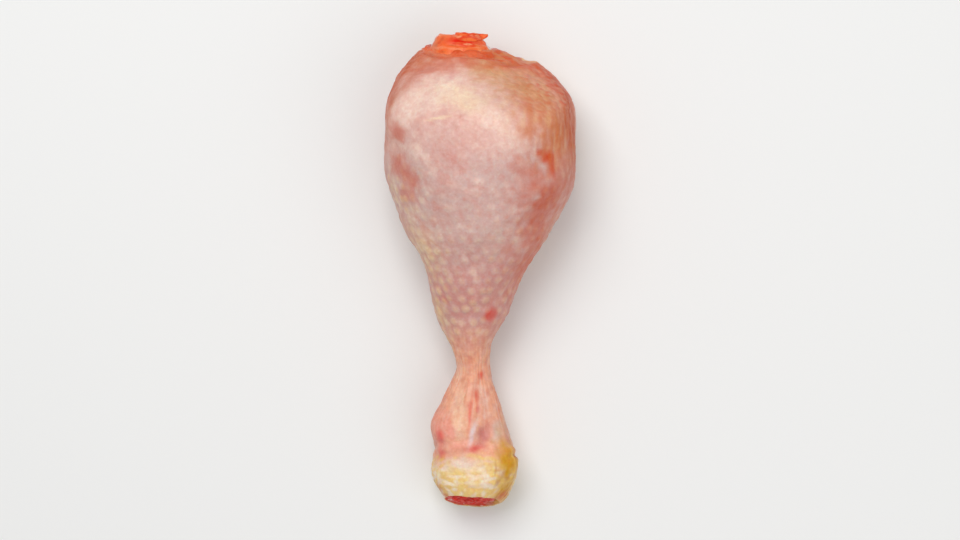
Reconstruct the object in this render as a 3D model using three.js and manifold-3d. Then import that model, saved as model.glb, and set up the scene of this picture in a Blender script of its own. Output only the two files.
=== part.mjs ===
// A raw chicken drumstick, the lower half of a leg quarter, lying on its side.
// Millimetres, +Z up. The leg lies along Y: the knee end with the meat is at +Y and the hock, where the
// foot was cut off, is at -Y. The origin is on the surface it lies on, under the middle of its box.
//
// Three solids: the meat in its skin, the bone that runs through it from the hock cut to the knee, and
// the red marrow inside the bone, which shows at the hock cut.

import * as THREE from "three";
import { mergeVertices } from "three/addons/utils/BufferGeometryUtils.js";
import Module from "manifold-3d";

// ---------------------------------------------------------------- driving sizes

const FIT_GAP = 0.3; // clearance between one solid and the next one inside it
const CUT_PAST = 3; // how far the bore for the bone runs past both ends of the meat
const FLOOR_BLOCK = { across: 120, along: 200, deep: 40 }; // trims the flesh flat where the leg lies

const SKIN_FACETS = { around: 60, along: 60 };
const BONE_FACETS = { around: 18, along: 28 };
const MARROW_FACETS = { around: 12, along: 16 };

// Sections of the skin, in the order a hand would slide from the hock to the knee.
// along: place on Y. left, right, under, top: the section's four extremes. widest: the height at which it
// is widest. square: 2 is an ellipse, more is boxier. lean and skew: how far the section's plane runs
// along Y for each millimetre up and each millimetre to the right.
const SKIN_FIELDS = ["along", "left", "right", "under", "top", "widest", "square", "lean", "skew"];
const SKIN_SECTIONS = namedRows(SKIN_FIELDS, {
  seatInCut: [-66.8, -8.8, 2.4, 4.8, 16.4, 10.6, 2.0, 0.28, 0],
  cutEdge: [-68.6, -10.6, 4.8, 2.2, 18.9, 10.6, 2.1, 0.28, -0.03],
  cuffEdge: [-66.5, -12.3, 7.4, 0.6, 20.7, 10.6, 2.3, 0.26, -0.03],
  cuff: [-61.0, -14.4, 9.8, -0.5, 21.4, 10.8, 2.3, 0.18, -0.02],
  hock: [-54.0, -14.1, 9.2, -0.5, 22.0, 11.0, 2.3, 0.06, 0],
  hockShoulder: [-46.0, -15.3, 6.6, 1.2, 21.4, 11.6, 2.2, 0, 0],
  hockNeck: [-38.5, -11.7, 4.8, 4.6, 20.2, 12.8, 2.1, 0, 0],
  shank: [-30.0, -7.6, 2.7, 7.4, 19.8, 13.6, 2.0, 0, 0],
  shankTop: [-23.0, -9.1, 3.1, 7.0, 22.0, 14.2, 2.0, 0, 0],
  calfStart: [-13.0, -13.8, 7.2, 4.6, 27.0, 15.4, 2.0, 0, 0],
  calfLow: [0.0, -16.5, 13.5, 1.4, 34.0, 17.0, 2.1, 0, 0],
  calf: [12.5, -22.2, 21.2, -1.2, 40.4, 18.4, 2.1, 0, 0],
  belly: [24.0, -26.4, 27.2, -2.4, 44.8, 19.4, 2.2, 0, 0],
  widest: [36.0, -28.5, 28.1, -2.4, 46.6, 20.0, 2.2, 0, 0],
  shoulder: [46.5, -28.1, 28.2, -1.4, 44.4, 20.0, 2.3, -0.04, -0.02],
  kneeShoulder: [54.5, -24.6, 26.6, 1.6, 38.4, 19.6, 2.3, -0.12, -0.08],
  kneeLip: [61.0, -19.8, 20.2, 6.2, 32.4, 19.2, 2.2, -0.2, -0.12],
  lipEdge: [63.2, -17.9, 15.6, 7.6, 30.0, 19.0, 2.1, -0.2, -0.12],
  lipFold: [62.4, -17.1, 13.4, 9.0, 28.8, 18.8, 2.0, -0.2, -0.12],
  cutMeat: [65.2, -16.8, 8.2, 9.8, 27.8, 18.6, 2.0, -0.18, -0.08],
  seatAtKnee: [66.0, -15.0, 4.8, 11.6, 26.0, 18.6, 2.0, -0.1, -0.06],
});

// Sections of the bone. beside and up: its middle. across and high: its full width and height. wall: the
// bone's thickness round the marrow, which stops short of the knee end.
const BONE_FIELDS = ["along", "beside", "up", "across", "high", "lean", "wall"];
const BONE_SECTIONS = namedRows(BONE_FIELDS, {
  hockFace: [-68.6, -3.3, 10.6, 14.4, 13.8, 0.28, 1.5],
  condyle: [-61.0, -3.2, 10.6, 14.2, 13.2, 0.12, 1.6],
  condyleEnd: [-51.0, -3.6, 11.2, 11.0, 9.6, 0, 1.5],
  neck: [-41.0, -3.4, 12.2, 7.4, 7.0, 0, 1.3],
  shaftLow: [-29.0, -2.7, 13.6, 6.0, 6.2, 0, 1.2],
  shaftMiddle: [2.0, -1.8, 18.4, 7.0, 7.2, 0, 1.4],
  shaftHigh: [34.0, -3.4, 20.0, 8.8, 8.6, 0, 1.9],
  flare: [51.0, -5.4, 19.2, 14.2, 12.4, 0, 0],
  head: [61.0, -6.2, 18.8, 19.4, 16.0, -0.05, 0],
  headShoulder: [66.0, -6.1, 18.8, 19.2, 15.4, -0.08, 0],
  headRound: [68.8, -6.7, 18.8, 15.4, 12.2, -0.08, 0],
  headFace: [69.7, -7.2, 18.8, 10.6, 8.4, -0.05, 0],
});

// Rounded rises and hollows on the skin, as seen from above: where, how far they reach and how high.
const RISE_FIELDS = ["x", "y", "reachX", "reachY", "rise"];
const RISES = namedRows(RISE_FIELDS, {
  calfMuscle: [-6, 20, 16, 24, 1.2],
  shoulderRidge: [10, 45, 15, 8, 1.6],
  leftHollow: [-21, 36, 5, 6, -0.9],
  lowerLeftHollow: [-19, 25, 4, 6, -0.7],
  kneeDip: [18, 55, 9, 7, -1.6],
  hockKnuckle: [-10.5, -49, 4.5, 6, 1.3],
  tendon: [-3.2, -42, 2.2, 16, 1.0],
  tendonHollow: [1.6, -50, 2.2, 5, -1.5],
  outerKnuckle: [5.4, -46, 2.6, 6, 0.9],
  spurFold: [8.6, -58, 2.6, 8, 1.5],
});

// Slow waves that keep the flesh uneven all round.
const WAVE_FIELDS = ["height", "perX", "perY", "perZ", "start"];
const WAVES = namedRows(WAVE_FIELDS, {
  long: [0.3, 0.21, 0.17, 0.12, 0.4],
  crossing: [0.24, -0.16, 0.29, 0.23, 2.1],
  short: [0.16, 0.37, -0.24, 0.33, 4.0],
});

// ---------------------------------------------------------------- shape helpers

// Gives the numbers of each row the names of their fields.
function namedRows(fields, rows) {
  const named = {};
  for (const [name, values] of Object.entries(rows)) {
    named[name] = Object.fromEntries(fields.map((field, i) => [field, values[i]]));
  }
  return named;
}

// A smooth curve through named sections: for a share from 0 to 1 of the way along it, the section there.
// The way is measured over the fields in sizeFields.
function smoothSections(sections, sizeFields) {
  const rows = Object.values(sections);
  const fields = Object.keys(rows[0]);
  const marks = [0];
  for (let i = 1; i < rows.length; i++) {
    const step = Math.hypot(...sizeFields.map((field) => rows[i][field] - rows[i - 1][field]));
    marks.push(marks[i - 1] + step);
  }
  const values = rows.flatMap((row) => fields.map((field) => row[field]));
  const curve = new THREE.CubicInterpolant(marks, values, fields.length, new Float64Array(fields.length));
  return (share) => {
    const here = curve.evaluate(share * marks.at(-1));
    return Object.fromEntries(fields.map((field, i) => [field, here[i]]));
  };
}

// A closed tube along Y: every vertex of a plain cylinder is moved to pointAt(share, angle, fromAxis),
// where fromAxis is 1 on the tube's side and 0 at the middle of its end faces.
function shapedTube(facets, pointAt) {
  const tube = new THREE.CylinderGeometry(1, 1, 1, facets.around, facets.along);
  const position = tube.getAttribute("position");
  const point = new THREE.Vector3();
  for (let i = 0; i < position.count; i++) {
    point.fromBufferAttribute(position, i);
    const fromAxis = Math.round(Math.hypot(point.x, point.z));
    const moved = pointAt(point.y + 0.5, Math.atan2(point.z, point.x), fromAxis);
    position.setXYZ(i, moved.x, moved.y, moved.z);
  }
  return tube;
}

const signedPower = (value, exponent) => Math.sign(value) * Math.abs(value) ** exponent;

function wavesAt({ x, y, z }) {
  let sum = 0;
  for (const { height, perX, perY, perZ, start } of Object.values(WAVES)) {
    sum += height * Math.sin(perX * x + perY * y + perZ * z + start);
  }
  return sum;
}

function risesAt(point) {
  let sum = 0;
  for (const { x, y, reachX, reachY, rise } of Object.values(RISES)) {
    sum += rise * Math.exp(-(((point.x - x) / reachX) ** 2) - ((point.y - y) / reachY) ** 2);
  }
  return sum;
}

// ---------------------------------------------------------------- the meat in its skin

function skinTube() {
  const sectionAt = smoothSections(SKIN_SECTIONS, ["along", "left", "top"]);
  return shapedTube(SKIN_FACETS, (share, angle, fromAxis) => {
    const s = sectionAt(share);
    const middle = (s.left + s.right) / 2;
    const half = (s.right - s.left) / 2;
    const side = fromAxis * signedPower(Math.cos(angle), 2 / s.square);
    const up = fromAxis * signedPower(Math.sin(angle), 2 / s.square);
    const reach = up > 0 ? s.top - s.widest : s.widest - s.under;
    const point = new THREE.Vector3(middle + half * side, s.along, s.widest + reach * up);
    point.y += s.lean * (point.z - s.widest) + s.skew * (point.x - middle);
    const facingUp = THREE.MathUtils.smoothstep(up, 0.1, 0.7);
    const lift = fromAxis * (wavesAt(point) + facingUp * risesAt(point));
    const outward = new THREE.Vector3(side * half, 0, up * reach).normalize();
    return point.addScaledVector(outward, lift);
  });
}

// ---------------------------------------------------------------- the bone and the marrow

// A round tube through the bone's sections, thicker all round by growAt of the section. Its end faces can
// be moved outwards, so that a tube used for cutting passes them.
function boneTube(sections, facets, growAt, past = { start: 0, end: 0 }) {
  const sectionAt = smoothSections(sections, ["along", "across"]);
  return shapedTube(facets, (share, angle, fromAxis) => {
    const s = sectionAt(share);
    const x = fromAxis * Math.cos(angle) * (s.across / 2 + growAt(s));
    const z = fromAxis * Math.sin(angle) * (s.high / 2 + growAt(s));
    const point = new THREE.Vector3(s.beside + x, s.along + s.lean * z, s.up + z);
    if (share <= 0) point.y -= past.start;
    if (share >= 1) point.y += past.end;
    return point;
  });
}

// The stretch of the bone that holds marrow.
function hollowSections() {
  return Object.fromEntries(Object.entries(BONE_SECTIONS).filter(([, section]) => section.wall > 0));
}

// ---------------------------------------------------------------- solids

const wasm = await Module();
wasm.setup();

function solidFrom(geometry) {
  const bare = geometry.clone().deleteAttribute("normal").deleteAttribute("uv");
  const merged = mergeVertices(bare, 1e-4);
  return new wasm.Manifold(
    new wasm.Mesh({
      numProp: 3,
      vertProperties: merged.getAttribute("position").array,
      triVerts: new Uint32Array(merged.index.array),
    }),
  );
}

function geometryFrom(solid) {
  const mesh = solid.getMesh();
  const geometry = new THREE.BufferGeometry();
  geometry.setAttribute("position", new THREE.BufferAttribute(mesh.vertProperties, 3));
  geometry.setIndex(new THREE.BufferAttribute(mesh.triVerts, 1));
  geometry.computeVertexNormals();
  return geometry;
}

// Everything below the surface that the leg lies on.
function floorSolid() {
  const block = new THREE.BoxGeometry(FLOOR_BLOCK.across, FLOOR_BLOCK.along, FLOOR_BLOCK.deep);
  block.translate(0, 0, -FLOOR_BLOCK.deep / 2);
  return solidFrom(block);
}

function meatSolid() {
  const bore = boneTube(BONE_SECTIONS, BONE_FACETS, () => FIT_GAP, { start: CUT_PAST, end: CUT_PAST });
  return solidFrom(skinTube()).subtract(solidFrom(bore)).subtract(floorSolid());
}

function boneSolid() {
  const whole = boneTube(BONE_SECTIONS, BONE_FACETS, () => 0);
  const past = { start: CUT_PAST, end: FIT_GAP };
  const hollow = boneTube(hollowSections(), MARROW_FACETS, (s) => -s.wall, past);
  return solidFrom(whole).subtract(solidFrom(hollow));
}

function marrowSolid() {
  return solidFrom(boneTube(hollowSections(), MARROW_FACETS, (s) => -s.wall - FIT_GAP));
}

// ---------------------------------------------------------------- materials and assembly

const skinLook = new THREE.MeshStandardMaterial({ color: 0xdcb0a2, roughness: 0.45, metalness: 0 });
const boneLook = new THREE.MeshStandardMaterial({ color: 0xd9a08c, roughness: 0.4, metalness: 0 });
const marrowLook = new THREE.MeshStandardMaterial({ color: 0xb8202a, roughness: 0.35, metalness: 0 });

function node(name, solid, material) {
  const mesh = new THREE.Mesh(geometryFrom(solid), material);
  mesh.name = name;
  return mesh;
}

const drumstick = new THREE.Group();
drumstick.name = "raw_chicken_drumstick";
drumstick.add(
  node("skin_and_meat", meatSolid(), skinLook),
  node("leg_bone", boneSolid(), boneLook),
  node("marrow", marrowSolid(), marrowLook),
);

export default drumstick;
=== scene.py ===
import math

import bmesh
import bpy
import numpy as np
from mathutils import Matrix, Vector, noise
from mathutils.kdtree import KDTree


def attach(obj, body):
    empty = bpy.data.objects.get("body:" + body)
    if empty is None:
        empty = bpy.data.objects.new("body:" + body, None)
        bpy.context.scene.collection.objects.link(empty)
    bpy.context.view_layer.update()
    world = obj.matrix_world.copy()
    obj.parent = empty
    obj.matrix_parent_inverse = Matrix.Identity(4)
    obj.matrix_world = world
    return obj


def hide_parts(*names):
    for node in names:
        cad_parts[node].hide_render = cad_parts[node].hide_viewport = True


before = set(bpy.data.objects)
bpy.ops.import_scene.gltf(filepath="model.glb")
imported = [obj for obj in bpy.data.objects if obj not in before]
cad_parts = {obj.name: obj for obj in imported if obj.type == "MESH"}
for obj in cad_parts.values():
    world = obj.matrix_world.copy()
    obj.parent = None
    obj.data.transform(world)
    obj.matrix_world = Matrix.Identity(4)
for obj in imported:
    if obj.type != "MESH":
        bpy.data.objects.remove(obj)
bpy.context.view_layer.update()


# ---------------------------------------------------------------- the skin with the meat in it
#
# The skin is grown onto the meat and is thin, moist and full of feather follicles, which stand up as small
# pale bumps. It is drawn over the muscles and ends in a loose lip round the knee. At the hock it turns into
# the thick yellowish cuff of the foot, cut straight through with the bone.

MM = 0.001

# The sections of the leg from the hock cut to the knee, in millimetres, as the solid has them.
SKIN_FIELDS = "along left right under top widest square lean skew".split()
SKIN_SECTIONS = {
    "seat_in_cut": (-66.8, -8.8, 2.4, 4.8, 16.4, 10.6, 2.0, 0.28, 0),
    "cut_edge": (-68.6, -10.6, 4.8, 2.2, 18.9, 10.6, 2.1, 0.28, -0.03),
    "cuff_edge": (-66.5, -12.3, 7.4, 0.6, 20.7, 10.6, 2.3, 0.26, -0.03),
    "cuff": (-61.0, -14.4, 9.8, -0.5, 21.4, 10.8, 2.3, 0.18, -0.02),
    "hock": (-54.0, -14.1, 9.2, -0.5, 22.0, 11.0, 2.3, 0.06, 0),
    "hock_shoulder": (-46.0, -15.3, 6.6, 1.2, 21.4, 11.6, 2.2, 0, 0),
    "hock_neck": (-38.5, -11.7, 4.8, 4.6, 20.2, 12.8, 2.1, 0, 0),
    "shank": (-30.0, -7.6, 2.7, 7.4, 19.8, 13.6, 2.0, 0, 0),
    "shank_top": (-23.0, -9.1, 3.1, 7.0, 22.0, 14.2, 2.0, 0, 0),
    "calf_start": (-13.0, -13.8, 7.2, 4.6, 27.0, 15.4, 2.0, 0, 0),
    "calf_low": (0.0, -16.5, 13.5, 1.4, 34.0, 17.0, 2.1, 0, 0),
    "calf": (12.5, -22.2, 21.2, -1.2, 40.4, 18.4, 2.1, 0, 0),
    "belly": (24.0, -26.4, 27.2, -2.4, 44.8, 19.4, 2.2, 0, 0),
    "widest": (36.0, -28.5, 28.1, -2.4, 46.6, 20.0, 2.2, 0, 0),
    "shoulder": (46.5, -28.1, 28.2, -1.4, 44.4, 20.0, 2.3, -0.04, -0.02),
    "knee_shoulder": (54.5, -24.6, 26.6, 1.6, 38.4, 19.6, 2.3, -0.12, -0.08),
    "knee_lip": (61.0, -19.8, 20.2, 6.2, 32.4, 19.2, 2.2, -0.2, -0.12),
    "lip_edge": (63.2, -17.9, 15.6, 7.6, 30.0, 19.0, 2.1, -0.2, -0.12),
    "lip_fold": (62.4, -17.1, 13.4, 9.0, 28.8, 18.8, 2.0, -0.2, -0.12),
    "cut_meat": (65.2, -16.8, 8.2, 9.8, 27.8, 18.6, 2.0, -0.18, -0.08),
    "seat_at_knee": (66.0, -15.0, 4.8, 11.6, 26.0, 18.6, 2.0, -0.1, -0.06),
}

# The sections of the bone in it, which the seats of the skin at both ends follow.
BONE_FIELDS = "along beside up across high lean wall".split()
BONE_SECTIONS = {
    "hock_face": (-68.6, -3.3, 10.6, 14.4, 13.8, 0.28, 1.5),
    "condyle": (-61.0, -3.2, 10.6, 14.2, 13.2, 0.12, 1.6),
    "condyle_end": (-51.0, -3.6, 11.2, 11.0, 9.6, 0, 1.5),
    "neck": (-41.0, -3.4, 12.2, 7.4, 7.0, 0, 1.3),
    "shaft_low": (-29.0, -2.7, 13.6, 6.0, 6.2, 0, 1.2),
    "shaft_middle": (2.0, -1.8, 18.4, 7.0, 7.2, 0, 1.4),
    "shaft_high": (34.0, -3.4, 20.0, 8.8, 8.6, 0, 1.9),
    "flare": (51.0, -5.4, 19.2, 14.2, 12.4, 0, 0),
    "head": (61.0, -6.2, 18.8, 19.4, 16.0, -0.05, 0),
    "head_shoulder": (66.0, -6.1, 18.8, 19.2, 15.4, -0.08, 0),
    "head_round": (68.8, -6.7, 18.8, 15.4, 12.2, -0.08, 0),
    "head_face": (69.7, -7.2, 18.8, 10.6, 8.4, -0.05, 0),
}

# Slow waves of the flesh: height, steps of phase per millimetre of X, Y and Z, and the phase they start at.
WAVES = [
    (0.3, 0.21, 0.17, 0.12, 0.4),
    (0.24, -0.16, 0.29, 0.23, 2.1),
    (0.16, 0.37, -0.24, 0.33, 4.0),
]

# Rounded rises and hollows seen from above: X, Y, reach along X and Y, height.
RISES = {
    "calf_muscle": (-6, 20, 16, 24, 1.2),
    "shoulder_ridge": (10, 45, 15, 8, 1.6),
    "left_hollow": (-21, 36, 5, 6, -0.9),
    "lower_left_hollow": (-19, 25, 4, 6, -0.7),
    "knee_dip": (18, 55, 9, 7, -1.6),
    "hock_knuckle": (-10.5, -49, 4.5, 6, 1.3),
    "tendon": (-3.2, -42, 2.2, 16, 1.0),
    "tendon_hollow": (1.6, -50, 2.2, 5, -1.5),
    "outer_knuckle": (5.4, -46, 2.6, 6, 0.9),
    "spur_fold": (8.6, -58, 2.6, 8, 1.5),
}

SKIN_AROUND = 280
SKIN_RINGS = 315
BORE_RINGS = 24
# Which share of the rings lies before each section: they are closest at the cuff and at the knee lip.
RING_PLAN = {
    "seat_in_cut": 0.0,
    "cuff": 0.15,
    "hock_shoulder": 0.25,
    "knee_shoulder": 0.8,
    "seat_at_knee": 1.0,
}
# The leg starts as two plain tubes, one in the other: its outside, and the bore that the bone lies in.
OUTSIDE_RADIUS = 1.0
BORE_RADIUS = 0.5
BORE_FROM_Y = -67.2
BORE_TO_Y = 64.9
GAP_TO_BONE = 0.3
SEAT_BITE = 0.1


class SectionCurve:
    """A smooth curve through named sections. Places on it are measured over the fields in size_fields."""

    def __init__(self, sections, fields, size_fields):
        self.fields = fields
        self.rows = np.array(list(sections.values()), float)
        steps = np.diff(self.rows[:, [fields.index(field) for field in size_fields]], axis=0)
        self.marks = np.concatenate([[0], np.cumsum(np.linalg.norm(steps, axis=1))])
        self.mark_of = dict(zip(sections, self.marks))
        slopes = np.diff(self.rows, axis=0) / np.diff(self.marks)[:, None]
        self.tangents = np.vstack([slopes[:1], (slopes[:-1] + slopes[1:]) / 2, slopes[-1:]])

    def at(self, place):
        i = np.clip(np.searchsorted(self.marks, place, side="right") - 1, 0, len(self.marks) - 2)
        width = (self.marks[i + 1] - self.marks[i])[:, None]
        t = (place - self.marks[i])[:, None] / width
        rise = t * t * (3 - 2 * t)
        here = self.rows[i] * (1 - rise) + self.rows[i + 1] * rise
        here += self.tangents[i] * width * t * (1 - t) ** 2
        here -= self.tangents[i + 1] * width * t * t * (1 - t)
        return dict(zip(self.fields, here.T))

    def place_of(self, along):
        """The places where the curve passes the given values of along, on its stretch that only rises."""
        fine = np.linspace(self.marks[0], self.marks[-1], 2000)
        reached = np.maximum.accumulate(self.at(fine)["along"])
        return np.interp(along, reached, fine)


skin_curve = SectionCurve(SKIN_SECTIONS, SKIN_FIELDS, ["along", "left", "top"])
bone_curve = SectionCurve(BONE_SECTIONS, BONE_FIELDS, ["along", "across"])


def signed_power(value, exponent):
    return np.sign(value) * np.abs(value) ** exponent


def smoothstep(value, start, end):
    t = np.clip((value - start) / (end - start), 0, 1)
    return t * t * (3 - 2 * t)


def bell(offset, reach):
    return np.exp(-((offset / reach) ** 2))


def lumps(points, size, seed):
    """Smooth noise at points in millimetres, from about -1 to 1, with lumps of the given size."""
    shift = Vector((seed * 7.3, seed * 3.1, seed * 5.7))
    return np.array([noise.noise(Vector(point) / size + shift) for point in points.tolist()])


def skin_surface(place, angle):
    """Points of the smooth leg, in millimetres."""
    s = skin_curve.at(place)
    middle = (s["left"] + s["right"]) / 2
    half = (s["right"] - s["left"]) / 2
    side = signed_power(np.cos(angle), 2 / s["square"])
    up = signed_power(np.sin(angle), 2 / s["square"])
    reach = np.where(up > 0, s["top"] - s["widest"], s["widest"] - s["under"])
    x = middle + half * side
    z = s["widest"] + reach * up
    y = s["along"] + s["lean"] * (z - s["widest"]) + s["skew"] * (x - middle)
    lift = sum(h * np.sin(px * x + py * y + pz * z + start) for h, px, py, pz, start in WAVES)
    facing_up = smoothstep(up, 0.1, 0.7)
    for at_x, at_y, reach_x, reach_y, height in RISES.values():
        lift += facing_up * height * bell(x - at_x, reach_x) * bell(y - at_y, reach_y)
    outward = np.stack([side * half, np.zeros_like(x), up * reach], axis=1)
    outward /= np.linalg.norm(outward, axis=1)[:, None]
    return np.stack([x, y, z], axis=1) + outward * lift[:, None]


def bone_surface(place, angle, grown, from_axis=1.0):
    """Points round the bone, in millimetres, grown outwards all round. From_axis 0 is its middle line."""
    s = bone_curve.at(place)
    x = from_axis * np.cos(angle) * (s["across"] / 2 + grown)
    z = from_axis * np.sin(angle) * (s["high"] / 2 + grown)
    return np.stack([s["beside"] + x, s["along"] + s["lean"] * z, s["up"] + z], axis=1)


def clear_of_bone(points, margin):
    """Moves points that lie in the bone, or nearer to it than margin, straight out of it."""
    s = bone_curve.at(bone_curve.place_of(points[:, 1]))
    offset = points[:, [0, 2]] - np.stack([s["beside"], s["up"]], axis=1)
    radii = np.stack([s["across"], s["high"]], axis=1) / 2 + margin[:, None]
    depth = np.linalg.norm(offset / radii, axis=1)
    scale = 1 / np.clip(depth, 1e-6, 1)
    moved = points.copy()
    moved[:, 0] = s["beside"] + offset[:, 0] * scale
    moved[:, 2] = s["up"] + offset[:, 1] * scale
    return moved


def add_tube(bm, around, rings, radius):
    """A plain open tube of height 1 in rings. Gives the edges of its two open ends, low and high."""
    made = bmesh.ops.create_cone(
        bm, cap_ends=False, segments=around, radius1=radius, radius2=radius, depth=1
    )
    edges = {edge for vert in made["verts"] for edge in vert.link_edges}
    lengthwise = [edge for edge in edges if abs(edge.verts[0].co.z - edge.verts[1].co.z) > 0.5]
    low = [edge for edge in edges if edge.verts[0].co.z < 0 and edge.verts[1].co.z < 0]
    high = [edge for edge in edges if edge.verts[0].co.z > 0 and edge.verts[1].co.z > 0]
    bmesh.ops.subdivide_edges(bm, edges=lengthwise, cuts=rings - 1, use_grid_fill=True)
    return low, high


def vertex_array(mesh, what="co"):
    flat = np.zeros(len(mesh.vertices) * 3, np.float32)
    source = mesh.vertices if what == "co" else mesh.vertex_normals
    source.foreach_get("co" if what == "co" else "vector", flat)
    return flat.reshape(-1, 3).astype(float)


def set_points(mesh, points):
    mesh.vertices.foreach_set("co", (points * MM).astype(np.float32).ravel())
    mesh.update()


def new_piece(name, bm):
    """An object of the finished bmesh, with faces pointing out and smooth shading."""
    bmesh.ops.recalc_face_normals(bm, faces=bm.faces)
    mesh = bpy.data.meshes.new(name)
    bm.to_mesh(mesh)
    bm.free()
    mesh.shade_smooth()
    piece = bpy.data.objects.new(name, mesh)
    bpy.context.scene.collection.objects.link(piece)
    return piece


skin_bm = bmesh.new()
outer_low, outer_high = add_tube(skin_bm, SKIN_AROUND, SKIN_RINGS, OUTSIDE_RADIUS)
bore_low, bore_high = add_tube(skin_bm, SKIN_AROUND, BORE_RINGS, BORE_RADIUS)
bmesh.ops.bridge_loops(skin_bm, edges=outer_low + bore_low)
bmesh.ops.bridge_loops(skin_bm, edges=outer_high + bore_high)
skin = new_piece("chicken_skin", skin_bm)

plain = vertex_array(skin.data)
share = np.clip(plain[:, 2] + 0.5, 0, 1)
angle = np.arctan2(-plain[:, 1], plain[:, 0])
is_bore = np.hypot(plain[:, 0], plain[:, 1]) < (OUTSIDE_RADIUS + BORE_RADIUS) / 2
plan_marks = [skin_curve.mark_of[name] for name in RING_PLAN]
place = np.interp(share, list(RING_PLAN.values()), plan_marks)

# The smooth leg first. Its end rings bite a little into the bone, and the bore follows the bone between them.
points = skin_surface(place, angle)
end_margin = (1.0 + SEAT_BITE) * smoothstep(np.minimum(share, 1 - share), 0.0, 0.06) - SEAT_BITE
points = clear_of_bone(points, end_margin)
bore_ends = bone_curve.place_of(np.array([BORE_FROM_Y, BORE_TO_Y]))
bore_place = bore_ends[0] + share * (bore_ends[1] - bore_ends[0])
bore_grown = np.where((share > 0.01) & (share < 0.99), GAP_TO_BONE, -SEAT_BITE)
points[is_bore] = bone_surface(bore_place, angle, bore_grown)[is_bore]

# The lip stands off the meat below and at the sides. On top the skin runs on into the meat without a fold.
marks = skin_curve.mark_of
over_fold = np.clip((place - marks["lip_edge"]) / (marks["cut_meat"] - marks["lip_edge"]), 0, 1)
fold_start = skin_surface(np.full(len(place), marks["lip_edge"]), angle)
fold_end = skin_surface(np.full(len(place), marks["cut_meat"]), angle)
bridge = fold_start + (fold_end - fold_start) * over_fold[:, None]
bridged = smoothstep(points[:, 2], 13, 20) * (over_fold > 0) * (over_fold < 1) * ~is_bore
points += (bridge - points) * bridged[:, None]


# How far the flesh sinks, how softly its flat underside turns up into the flanks, and what that turn adds.
SINKS = 0.35
TURN_SOFTNESS = 1.0
TURN_LIFT = 0.06


def settle(points):
    """Soft flesh flattens on the surface that it lies on."""
    settled = points.copy()
    z = points[:, 2] - SINKS
    settled[:, 2] = np.maximum(0, (z + np.sqrt(z * z + TURN_SOFTNESS)) / 2 - TURN_LIFT)
    return settled


points = settle(points)
set_points(skin.data, points)
smooth_normals = vertex_array(skin.data, "normal")
outer = ~is_bore
x, y, z = points.T

# Feather follicles stand in rows round the leg, each row set between the follicles of the last.
FOLLICLES_FROM_Y = -42
FOLLICLES_TO_Y = 60
FOLLICLE_ROW = 3.0
FOLLICLE_PITCH = 3.5
STRAY_ROUND = 0.28
STRAY_ALONG = 0.8
TOP_OF_TURN = 0.25
rng = np.random.default_rng(11)
follicles = []
for row, row_y in enumerate(np.arange(FOLLICLES_FROM_Y, FOLLICLES_TO_Y, FOLLICLE_ROW)):
    row_place = skin_curve.place_of(np.array([row_y]))
    ring = skin_surface(np.repeat(row_place, 64), np.linspace(0, 2 * math.pi, 64))
    count = round(np.linalg.norm(np.diff(ring, axis=0), axis=1).sum() / FOLLICLE_PITCH)
    steps_round = np.arange(count) + 0.5 * (row % 2) + rng.uniform(-STRAY_ROUND, STRAY_ROUND, count)
    turns = TOP_OF_TURN + steps_round / count
    places = row_place + rng.uniform(-STRAY_ALONG, STRAY_ALONG, count)
    follicles.append(skin_surface(places, turns * 2 * math.pi))
follicles = settle(np.vstack(follicles))
follicle_size = rng.uniform(0.4, 1.1, len(follicles)) * (0.95 + 0.6 * lumps(follicles, 8.0, seed=17))
tree = KDTree(len(follicles))
for index, follicle in enumerate(follicles):
    tree.insert(follicle, index)
tree.balance()
nearest = [tree.find(point) for point in points.tolist()]
follicle_index = np.array([found[1] for found in nearest])
follicle_distance = np.array([found[2] for found in nearest]) * (1 + 0.15 * lumps(points, 2.0, seed=18))
on_top = smoothstep(smooth_normals[:, 2], 0.55, 0.95)
gooseflesh = np.interp(y, [-38, -27, -16, 4, 22, 32, 42], [0, 0.4, 0.9, 1, 0.8, 0.4, 0])
gooseflesh *= 1 - on_top * np.interp(y, [-8, 12, 30, 46], [0.0, 0.55, 0.75, 0.9])
bump = gooseflesh * follicle_size[follicle_index] * (1 - smoothstep(follicle_distance, 0.2, 1.85))
between = gooseflesh * smoothstep(follicle_distance, 1.25, 1.9)


def lengthwise(width, length):
    """Places on the leg for noise that is drawn out along it, in streaks of this width and length."""
    round_leg = 16 * np.stack([np.cos(angle), np.sin(angle)], axis=1) / width
    return np.column_stack([round_leg, place / length])


# Relief of the skin in millimetres: lumps of fat and muscle, gooseflesh, stretch lines and folds.
big_lumps = lumps(points, 11.0, seed=1)
small_lumps = lumps(points, 4.2, seed=2)
pebbles = lumps(points, 1.7, seed=3)
creases = 1 - np.abs(lumps(points, 3.1, seed=19)) * 2
relief = 0.4 * big_lumps + 0.2 * small_lumps + 0.07 * pebbles + 0.3 * bump
relief -= 0.12 * smoothstep(creases, 0.7, 1.0) * (1 - gooseflesh)

# Fine stretch lines run down the knee's right side and fade on the belly.
shoulder_zone = smoothstep(x + 0.5 * (y - 50), 0, 12) * smoothstep(smooth_normals[:, 2], -0.2, 0.3)
stretch_zone = shoulder_zone * np.interp(y, [24, 36, 44, 54], [0, 1, 1, 0.15])
stretch_lines = lumps(lengthwise(0.85, 5.5), 1.0, seed=4)
relief += 0.18 * stretch_zone * stretch_lines
ripple_zone = shoulder_zone * np.interp(y, [42, 50, 60, 64], [0, 1, 1, 0.5])
ripples = lumps(np.column_stack([(x - 0.7 * y) / 1.8, (y + 0.5 * x) / 0.75, z / 2.5]), 1.0, seed=54)
relief += 0.2 * ripple_zone * ripples

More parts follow.
